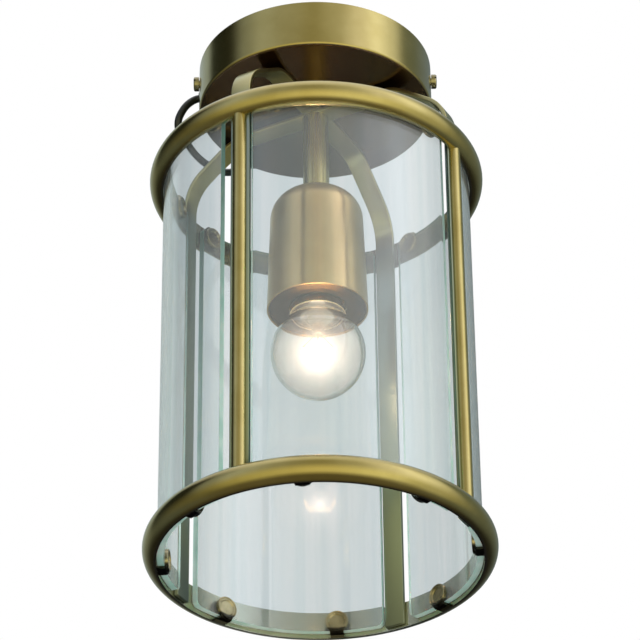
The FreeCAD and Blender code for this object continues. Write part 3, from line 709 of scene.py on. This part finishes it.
def rounded_outline(corners: list[tuple[float, float, float]], closed: bool,
                    count: int) -> np.ndarray:
    """Outline from corners (x, y, radius), each rounded by its tangent arc.

    Args:
        corners: the corners with their rounding radii, 0 for a sharp one.
        closed: joins the last corner to the first.
        count: points on each rounding.

    Returns:
        Array of shape (n, 2).
    """
    flat = np.array([c[:2] for c in corners], float)
    parts = []
    for k, (_, _, radius) in enumerate(corners):
        end = not closed and k in (0, len(corners) - 1)
        if radius and not end:
            parts.append(rounded_corner(flat[k - 1], flat[k], flat[(k + 1) % len(flat)], radius,
                                        count))
        else:
            parts.append(flat[k:k + 1])
    return np.concatenate(parts)


def turned_surface(outline: np.ndarray, count: int, closed: bool = True) -> Surface:
    """Outline (radius, z) turned about Z: point = (radius cos a, radius sin a, z).

    Args:
        outline: array of (radius, z).
        count: points round the axis.
        closed: joins the outline's last point to its first.

    Returns:
        The surface.
    """
    angle = circle(count)[:, None]
    radius, height = outline[None, :, 0], outline[None, :, 1]
    points = np.stack([radius * np.cos(angle), radius * np.sin(angle), height + 0 * angle],
                      axis=-1)
    return Surface.grid(points, round_u=True, round_v=closed)


# ---- the lantern's sub-assemblies ----

@dataclass
class Assembly(ABC):
    """A group of pieces that ride together on one body of the model."""

    wear: ClassVar[tuple[tuple[Finish, str], ...]]
    frame: dict
    made: list[str] = field(default_factory=list)

    def dress(self) -> None:
        """Gives the carried-over CAD nodes their finishes."""
        for finish, names in self.wear:
            for name in names.split():
                for slot in self.frame["nodes"][name].material_slots:
                    slot.material = finish.material()
                self.made.append(name)

    def seat(self, piece: bpy.types.Object, body: str, slot: str, *nodes: str) -> None:
        """Rides a new piece on its body, in place of CAD nodes where it stands for any.

        Args:
            piece: the piece.
            body: the body it rides on.
            slot: its material slot in the model; not used.
            *nodes: names of the nodes that it replaces.
        """
        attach(piece, body)
        if nodes:
            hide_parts(*nodes)
        self.made.append(piece.name)

    def build(self) -> None:
        """Makes the pieces that the CAD model lacks or that take a finer form here."""


@dataclass
class FlexLoop(Assembly):
    """Short loop of black flex between two glands in the canopy's wall."""

    wear = ((RUBBER, "cord_gland_side cord_gland_rear"),)
    diameter: float = 3.8
    face_radius: float = 58.75
    lead: float = 2.8
    leave: tuple[float, float] = (-101.0, -6.5)
    enter: tuple[float, float] = (-154.0, -7.5)
    route: tuple[tuple[float, float, float], ...] = (
        (-99.0, 66.5, -12.5), (-99.5, 70.5, -22.0), (-109.0, 69.0, -28.0), (-119.5, 67.5, -30.0),
        (-130.5, 67.5, -28.0), (-141.0, 69.0, -22.5), (-149.5, 69.5, -15.0))
    steps: int = 24
    facets: int = 8
    order: int = 3

    def corners(self) -> np.ndarray:
        """Control points: (r sin a, -r cos a, z) from azimuth a, radius r and height z.

        Returns:
            Array of shape (n, 3), from the side gland to the rear one.
        """
        (a_out, z_out), (a_in, z_in) = self.leave, self.enter
        reach = self.face_radius + self.lead
        rows = np.array([(a_out, self.face_radius, z_out), (a_out, reach, z_out), *self.route,
                         (a_in, reach, z_in), (a_in, self.face_radius, z_in)])
        return at_azimuth(np.radians(rows[:, 0]), rows[:, 1], rows[:, 2])

    def build(self) -> None:
        """Makes the flex as a NURBS curve through the route."""
        points = self.corners() * MM
        curve = set_up(bpy.data.curves.new("flex_loop", "CURVE"), dimensions="3D",
                       resolution_u=self.steps, bevel_depth=self.diameter / 2 * MM,
                       bevel_resolution=self.facets, use_fill_caps=True)
        spline = curve.splines.new("NURBS")
        spline.points.add(len(points) - 1)
        spline.points.foreach_set("co", np.column_stack([points, np.ones(len(points))]).ravel())
        set_up(spline, order_u=self.order, use_endpoint_u=True)
        curve.materials.append(FLEX.material())
        flex = show("flex_loop", curve)
        self.seat(flex, "lantern", "black_flex", "feed_cord")


@dataclass
class Cage(Assembly):
    """Two rings, four half-round rods and two crossed straps."""

    wear = ((RING, "top_ring bottom_ring"),
            (BRONZED_ROD, "upright_rod_front_left upright_rod_front_right upright_rod_rear_right "
                          "upright_rod_rear_left"))
    strap_levels: tuple[float, float] = (-26.2, -28.2)
    strap_width: float = 10.0
    strap_thickness: float = 2.0
    strap_edge: float = 0.4
    leg_radius: float = 73.28
    leg_foot: float = -275.5
    shoulder_z: float = -48.42
    shoulder_radius: float = 22.0
    root_radius: float = 18.0
    slope: float = 35.0
    bend_points: int = 24
    edge_points: int = 5

    def strap(self, azimuth: float, level: float) -> Surface:
        """Flat bar carried along the upside-down U, its corners eased.

        The path is foot, shoulder bend, root bend and level middle, mirrored; the section's x
        lies across the strap and its y along the path's normal. Both ends close on a point.

        Args:
            azimuth: azimuth of one leg.
            level: height of the middle.

        Returns:
            The strap.
        """
        root = self.leg_radius - (level - self.shoulder_z) / math.tan(math.radians(self.slope))
        half = [(self.leg_radius, self.leg_foot, 0),
                (self.leg_radius, self.shoulder_z, self.shoulder_radius),
                (root, level, self.root_radius)]
        path = [(-x, z, radius) for x, z, radius in half] + half[::-1]
        flat = rounded_outline(path, False, self.bend_points)
        along = np.gradient(flat, axis=0)
        along /= np.linalg.norm(along, axis=1)[:, None]
        lift = np.stack([-along[:, 1], along[:, 0]], axis=-1)
        x, y, edge = self.strap_width / 2, self.strap_thickness / 2, self.strap_edge
        across, up = rounded_outline([(-x, -y, edge), (x, -y, edge), (x, y, edge), (-x, y, edge)],
                                     True, self.edge_points).T
        u, z = np.moveaxis(flat[:, None] + up[:, None] * lift[:, None], -1, 0)
        points = np.stack([u, across + 0 * u, z], axis=-1)
        ends = points[[0, -1]].mean(axis=1, keepdims=True) + 0 * points[:2]
        closed = np.concatenate([ends[:1], points, ends[1:]])
        return Surface.grid(closed, round_v=True).turned(azimuth)

    def build(self) -> None:
        """Makes both straps."""
        for k, name in enumerate(("strap_upper", "strap_lower")):
            strap = self.strap(FIRST_POST + QUARTER * k, self.strap_levels[k])
            self.seat(strap.piece("eased_" + name, [STRIP]), "lantern", "strap_brass", name)


@dataclass
class Glazing(Assembly):
    """Four bent panes with polished edges, and their clips with pressed rims."""

    wear = ((CLIP, "top_clips bottom_clips"),)
    outer_radius: float = 74.2
    thickness: float = 3.0
    low: float = -274.8
    high: float = -63.7
    gap: float = 16.0
    corner: float = 3.0
    arris: float = 0.7
    arris_angle: float = 50.0
    arris_segments: int = 3
    settle: tuple[float, float, float, float] = (-1.6, -1.0, -1.6, -2.0)
    corner_rows: int = 7
    plain_rows: int = 9
    plain_inset: float = 8.0
    columns: int = 57
    rim_face: float = 69.49
    rim_radius: float = 5.0
    rim_half: float = 0.4
    rim_points: tuple[int, int] = (12, 48)
    rims: tuple[tuple[str, float, float], ...] = (
        ("top_clip_rims", -68.0, 32.0), ("bottom_clip_rims", -270.5, 22.5))

    def clip_rims(self, level: float, spread: float) -> Surface:
        """Raised rims of one ring's clip heads: beads, each a small circle turned about +X.

        Args:
            level: height of the heads' middles.
            spread: azimuth of a clip from its pane's middle, in degrees.

        Returns:
            The beads as one surface.
        """
        across, along = np.meshgrid(*map(circle, self.rim_points), indexing="ij")
        reach = self.rim_radius + self.rim_half * np.cos(across)
        points = np.stack([self.rim_face + self.rim_half * np.sin(across), reach * np.cos(along),
                           level + reach * np.sin(along)], axis=-1)
        bead = Surface.grid(points, round_u=True, round_v=True)
        return Surface.joined([bead.turned(FIRST_POST + QUARTER * (k + 0.5) + side * spread)
                               for k in range(POSTS) for side in (-1, 1)])

    def pane(self, middle: float) -> Surface:
        """Middle skin of a pane: (r sin a, -r cos a, z) with a from -1 to 1 times the half width.

        The half width shrinks by corner * (1 - sin t) over the rounded corners, whose heights
        are corner * (1 - cos t) from the pane's end.

        Args:
            middle: azimuth of the pane's middle.

        Returns:
            The skin, which a modifier thickens.
        """
        radius = self.outer_radius - self.thickness / 2
        half = (math.radians(QUARTER) - self.gap / self.outer_radius) / 2
        turn = np.linspace(0, np.pi / 2, self.corner_rows)
        drop, shrink = self.corner * (1 - np.cos(turn)), self.corner * (1 - np.sin(turn))
        plain = np.linspace(self.high - self.plain_inset, self.low + self.plain_inset,
                            self.plain_rows)
        heights = np.concatenate([self.high - drop, plain, (self.low + drop)[::-1]])
        shrinks = np.concatenate([shrink, 0 * plain, shrink[::-1]])
        width = half - shrinks / radius
        angle = math.radians(middle) + width[:, None] * np.linspace(-1, 1, self.columns)[None, :]
        return Surface.grid(at_azimuth(angle, radius, heights[:, None]))

    def build(self) -> None:
        """Makes each pane from its skin, with a fine arris on its edge, and the clips' rims."""
        for k, name in enumerate(("front", "right", "rear", "left")):
            middle = FIRST_POST + QUARTER * (k + 0.5) + self.settle[k]
            pane = self.pane(middle).piece("bent_pane_" + name, [PANE, EDGE])
            set_up(pane.modifiers.new("thickness", "SOLIDIFY"), thickness=self.thickness * MM,
                   offset=0.0, use_even_offset=True, material_offset_rim=1)
            set_up(pane.modifiers.new("eased edges", "BEVEL"), width=self.arris * MM,
                   segments=self.arris_segments, limit_method="ANGLE",
                   angle_limit=math.radians(self.arris_angle))
            pane.modifiers.new("even shading", "WEIGHTED_NORMAL").keep_sharp = True
            self.seat(pane, "lantern", "pane_glass", "glass_pane_" + name)
        for name, level, spread in self.rims:
            rims = self.clip_rims(level, spread).piece(name, [CLIP])
            self.seat(rims, "lantern", "clip_brass")


@dataclass
class CanopyGroup(Assembly):
    """Canopy with its bracket, screws, connections and centre fixing."""

    wear = ((BRONZED, "canopy"), (BRONZED_ROD, "stem_tube"),
            (ZINC, "ceiling_bracket nipple_washer nipple_nut threaded_nipple earth_stud"),
            (SCREW, "side_screw_right side_screw_left"), (NYLON, "terminal_block"),
            (BRIGHT_BRASS, "terminal_block_screws"), (BROWN_WIRE, "live_wire"),
            (BLUE_WIRE, "neutral_wire"), (GREEN_WIRE, "earth_wire"))


@dataclass
class LampHolder(Assembly):
    """Sleeve, porcelain holder with its pressed rim, and what is in them."""

    wear = ((CHAMPAGNE, "holder_sleeve"), (ZINC, "sleeve_nut holder_flange holder_screws"),
            (PORCELAIN, "porcelain_body"),
            (BRIGHT_BRASS, "holder_terminals screw_shell centre_contact"))
    rim_outline: tuple[tuple[float, float, float], ...] = (
        (23.1, -139.6, 0.2), (23.1, -140.5, 0.3), (17.9, -140.5, 0.3), (17.5, -141.1, 0.35),
        (16.5, -141.1, 0.35), (16.1, -140.5, 0.3), (13.9, -140.3, 0.2), (13.9, -139.6, 0.2))
    corner_points: int = 4
    rim_columns: int = 128

    def build(self) -> None:
        """Makes the rim that closes the sleeve's mouth round the bulb."""
        outline = rounded_outline(list(self.rim_outline), True, self.corner_points)
        rim = turned_surface(outline, self.rim_columns).piece("holder_rim", [HOLDER_RIM])
        self.seat(rim, "lantern", "satin_brass")


@dataclass(frozen=True)
class GlowingAir(Finish):
    """Soft glow round the hot filament, as the eye and a lens see it. It isn't part of the lantern.

    Its light at distance r from the middle is haze + core * (1 - r / radius) ** core_power
    + spark * (1 - r / radius) ** spark_power.
    """

    output: ClassVar[str] = "Volume"
    radius: float = 20.8
    haze: float = 9.5
    core: float = 275.0
    core_power: float = 3.0
    spark: float = 2500.0
    spark_power: float = 12.0
    colour: str = "#FFE2CE"
    rows: int = 25
    columns: int = 48

    def lay(self, nodes: Nodes) -> Socket:
        """Light by distance from the middle, for the camera and sharp mirrors only.

        Args:
            nodes: the material's nodes.

        Returns:
            The volume's shader socket.
        """
        near = nodes.span(nodes.length(nodes.place()), 1.0, 0.0, (0.0, self.radius * MM))
        soft = nodes.maths("MULTIPLY_ADD", nodes.maths("POWER", near, self.core_power), self.core,
                           self.haze)
        glowing = nodes.maths("MULTIPLY_ADD", nodes.maths("POWER", near, self.spark_power),
                              self.spark, soft)
        path = nodes.add("LightPath").outputs
        seen = nodes.maths("MAXIMUM", path["Is Camera Ray"], path["Is Singular Ray"])
        light = nodes.add("Emission", {"Color": self.colour,
                                       "Strength": nodes.maths("MULTIPLY", glowing, seen)})
        return light.outputs["Emission"]

    def make(self, carrier: bpy.types.Object) -> None:
        """Makes the ball of glow round its carrier.

        Args:
            carrier: the filament's lamp, which it moves with.
        """
        turn = np.linspace(-np.pi / 2, np.pi / 2, self.rows)
        outline = self.radius * np.stack([np.cos(turn), np.sin(turn)], axis=-1)
        made = turned_surface(outline, self.columns, closed=False).piece("soft_glow", [self])
        set_up(made, parent=carrier, visible_diffuse=False, visible_shadow=False)


@dataclass
class Bulb(Assembly):
    """Clear golf-ball bulb, lit."""

    wear = ((BLOWN, "bulb_glass"), (STEM_GLASS, "bulb_mount"), (NICKEL, "bulb_cap bulb_eyelet"),
            (CAP_GLASS, "bulb_insulator"), (WARM_WIRE, "bulb_supports"),
            (TUNGSTEN, "bulb_filament"))
    glow_z: float = -165.3
    glow_power: float = 0.02
    glow_radius: float = 7.0
    glow_colour: str = "#FFD2A0"
    bead: tuple[float, float, float] = (13.1, -143.9, 0.3)
    bead_points: int = 12
    bead_columns: int = 96
    air: GlowingAir = GlowingAir("glowing air")

    def lamp(self) -> bpy.types.Object:
        """Makes the filament's own light, which rides on the bulb.

        Returns:
            The lamp.
        """
        light = set_up(bpy.data.lights.new("filament light", "POINT"), energy=self.glow_power,
                       color=linear(self.glow_colour)[:3], shadow_soft_size=self.glow_radius * MM)
        made = show(light.name, light, location=(0, 0, self.glow_z * MM), **UNSEEN_LAMP)
        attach(made, "bulb")
        return made

    def build(self) -> None:
        """Makes the bead round the cap's mouth and puts light and glow at the filament."""
        turn = circle(self.bead_points)
        radius, height, half = self.bead
        outline = np.stack([radius + half * np.cos(turn), height + half * np.sin(turn)], axis=-1)
        # the bead's finish is partly a painted highlight, far paler than the cap
        bead = turned_surface(outline, self.bead_columns).piece("cap_edge_bead", [CAP_EDGE_HIGHLIGHT])
        self.seat(bead, "bulb", "nickel_cap")
        self.air.make(self.lamp())


# ---- studio ----

@dataclass(frozen=True)
class SoftBox:
    """A soft light that faces the lantern. Angles in degrees, distance and size in metres.

    Metal and glass mirror the room of the world instead of its hard-edged square.
    """

    title: str
    azimuth: float
    elevation: float
    distance: float
    size: tuple[float, float]
    power: float
    aim: tuple[float, float, float] = (0, 0, -0.14)

    def make(self) -> None:
        """Places the light by azimuth, elevation and distance from where it aims."""
        light = set_up(bpy.data.lights.new(self.title, "AREA"), shape="RECTANGLE",
                       size=self.size[0], size_y=self.size[1], energy=self.power)
        a, e = math.radians(self.azimuth), math.radians(self.elevation)
        away = Vector((math.sin(a) * math.cos(e), -math.cos(a) * math.cos(e), math.sin(e)))
        turn = away.to_track_quat("Z", "Y").to_matrix().to_4x4()
        place = Matrix.Translation(Vector(self.aim) + away * self.distance)
        show(self.title, light, matrix_world=place @ turn, **UNSEEN_LAMP)


@dataclass(frozen=True)
class Studio:
    """Camera, backdrop, floor and lights, as fitted to the photograph.

    The camera's angles are in radians, the room's azimuths in degrees, the floor's sizes in
    metres, and the room's bands in sines of the elevation.
    """

    target_z: float = -145.9
    distance: float = 1557.63
    elevation: float = -0.568
    roll: float = -0.011
    lens: float = 184.57
    sensor: float = 36.0
    shift: float = 0.00354
    clip: tuple[float, float] = (0.05, 50.0)
    floor_z: float = -2.4
    floor_half: float = 1.3
    floor_points: int = 9
    boxes: tuple[SoftBox, ...] = (
        SoftBox("key soft box", 62, 34, 2.2, (0.9, 1.5), 40),
        SoftBox("fill soft box", -58, 32, 2.4, (0.8, 1.5), 26),
        SoftBox("front soft box", 8, 10, 2.6, (0.9, 0.9), 16),
    )
    ambient: float = 0.55
    room_strength: float = 2.0
    one_bounce: float = 0.5
    through: str = "#D2D6D8"
    ceiling: str = "#CBCACC"
    ground: str = "#5A5440"
    horizon: tuple[float, float] = (-0.35, 0.35)
    ceiling_from: tuple[float, float] = (0.7, 0.95)
    ground_from: tuple[float, float] = (-0.65, -0.95)
    high_room: Stops = (
        (-180, "#848C8C"), (-134, "#868E8C"), (-122, "#1E221C"), (-92, "#181A12"),
        (-72, "#7C8284"), (-54, "#A0A6AC"), (-25, "#929288"), (0, "#8E8A72"), (22, "#A8A698"),
        (46, "#DEDCDC"), (64, "#FFFFFF"), (82, "#CECEC4"), (102, "#646A62"), (116, "#60665E"),
        (130, "#626A6A"), (180, "#545C5C"))
    low_room: Stops = (
        (-180, "#0C0807"), (-155, "#1E1E1C"), (-120, "#4A504E"), (-90, "#5C5A44"),
        (-40, "#B0AA7C"), (0, "#D0C89C"), (40, "#DEDAB6"), (80, "#A8A68C"), (120, "#565C58"),
        (155, "#1E1E1E"), (180, "#0C0807"))

    def camera(self) -> None:
        """Camera at target + back * distance, rolled about its own axis."""
        back = Vector((0, -math.cos(self.elevation), math.sin(self.elevation)))
        right = Vector((1, 0, 0))
        up = right.cross(-back)
        across = math.cos(self.roll) * right + math.sin(self.roll) * up
        above = -math.sin(self.roll) * right + math.cos(self.roll) * up
        place = Vector((0, 0, self.target_z * MM)) + back * self.distance * MM
        lens = set_up(bpy.data.cameras.new("camera"), sensor_width=self.sensor, lens=self.lens,
                      shift_x=self.shift, clip_start=self.clip[0], clip_end=self.clip[1])
        rows = [(across[k], above[k], back[k], place[k]) for k in range(3)]
        bpy.context.scene.camera = show("camera", lens, matrix_world=Matrix(rows + [(0, 0, 0, 1)]))

    def band(self, nodes: Nodes, around: Socket, stops: Stops) -> Socket:
        """Colours of the room by azimuth.

        Args:
            nodes: the world's nodes.
            around: azimuth from 0 for -180 degrees to 1 for 180.
            stops: azimuths in degrees with their sRGB hex colours.

        Returns:
            The colour socket.
        """
        made = nodes.add("ValToRGB", {"Fac": around})
        ramp = made.color_ramp
        ramp.interpolation = "EASE"
        for azimuth, colour in stops[1:-1]:
            ramp.elements.new((azimuth + 180) / 360).color = linear(colour)
        ramp.elements[0].color = linear(stops[0][1])
        ramp.elements[-1].color = linear(stops[-1][1])
        return made.outputs["Color"]

    def room(self, nodes: Nodes) -> Socket:
        """The room that metal and glass mirror.

        It is one band of colours above the horizon and another below it, both by
        azimuth = atan2(x, -y), between a pale ceiling and a dim ground.

        Args:
            nodes: the world's nodes.

        Returns:
            The colour socket.
        """
        view = nodes.add("TexCoord").outputs["Generated"]
        way = nodes.add("SeparateXYZ", {"Vector": view}).outputs
        angle = nodes.maths("ARCTAN2", way["X"], nodes.maths("MULTIPLY", way["Y"], -1.0))
        around = nodes.span(angle, 0.0, 1.0, (-math.pi, math.pi))
        rise = nodes.span(way["Z"], 0.0, 1.0, self.horizon)
        walls = nodes.mixed(rise, self.band(nodes, around, self.low_room),
                            self.band(nodes, around, self.high_room))
        over = nodes.span(way["Z"], 0.0, 1.0, self.ceiling_from)
        under = nodes.span(way["Z"], 0.0, 1.0, self.ground_from)
        return nodes.mixed(under, nodes.mixed(over, walls, self.ceiling), self.ground)

    def backdrop(self) -> None:
        """World: white for the camera, pale grey through glass, the room in mirrors.

        Light that has met a mirror comes from the room even where it then passes a pane.
        """
        world = bpy.data.worlds.new("studio")
        bpy.context.scene.world = world
        world.use_nodes = True
        world.node_tree.nodes.clear()
        nodes = Nodes(world.node_tree)
        path = nodes.add("LightPath").outputs
        mirrored = nodes.maths("GREATER_THAN", path["Glossy Depth"], self.one_bounce)
        shown = None
        for ray, colour, strength in ((None, "#FFFFFF", self.ambient),
                                      (path["Is Transmission Ray"], self.through, 1.0),
                                      (mirrored, self.room(nodes), self.room_strength),
                                      (path["Is Camera Ray"], "#FFFFFF", 1.0)):
            light = nodes.add("Background", {"Color": colour, "Strength": strength}).outputs[0]
            shown = light if ray is None else nodes.add(
                "MixShader", {0: ray, 1: shown, 2: light}).outputs["Shader"]
        nodes.add("OutputWorld", {"Surface": shown})

    def floor(self) -> None:
        """Pale matt floor of the porch, far below the lantern."""
        side = np.linspace(-self.floor_half, self.floor_half, self.floor_points) / MM
        x, y = np.meshgrid(side, side, indexing="ij")
        made = Surface.grid(np.stack([x, y, np.full_like(x, self.floor_z / MM)],
                                     axis=-1)).piece("floor", [FLOOR_PAINT])
        made.visible_glossy = False

    def build(self) -> None:
        """Sets up the studio."""
        bpy.context.scene.view_settings.view_transform = "Standard"
        self.camera()
        self.backdrop()
        self.floor()
        for box in self.boxes:
            box.make()


def main(frame: dict) -> None:
    """Builds the studio and each sub-assembly in order.
    """
    logging.basicConfig(level=logging.INFO, format="%(name)s: %(message)s")
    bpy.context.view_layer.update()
    Studio().build()
    for kind in (FlexLoop, Cage, Glazing, CanopyGroup, LampHolder, Bulb):
        group = kind(frame)
        group.build()
        group.dress()
        LOG.info("%s: %s", kind.__name__, ", ".join(group.made))


if __name__ == "__main__":
    main(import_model())
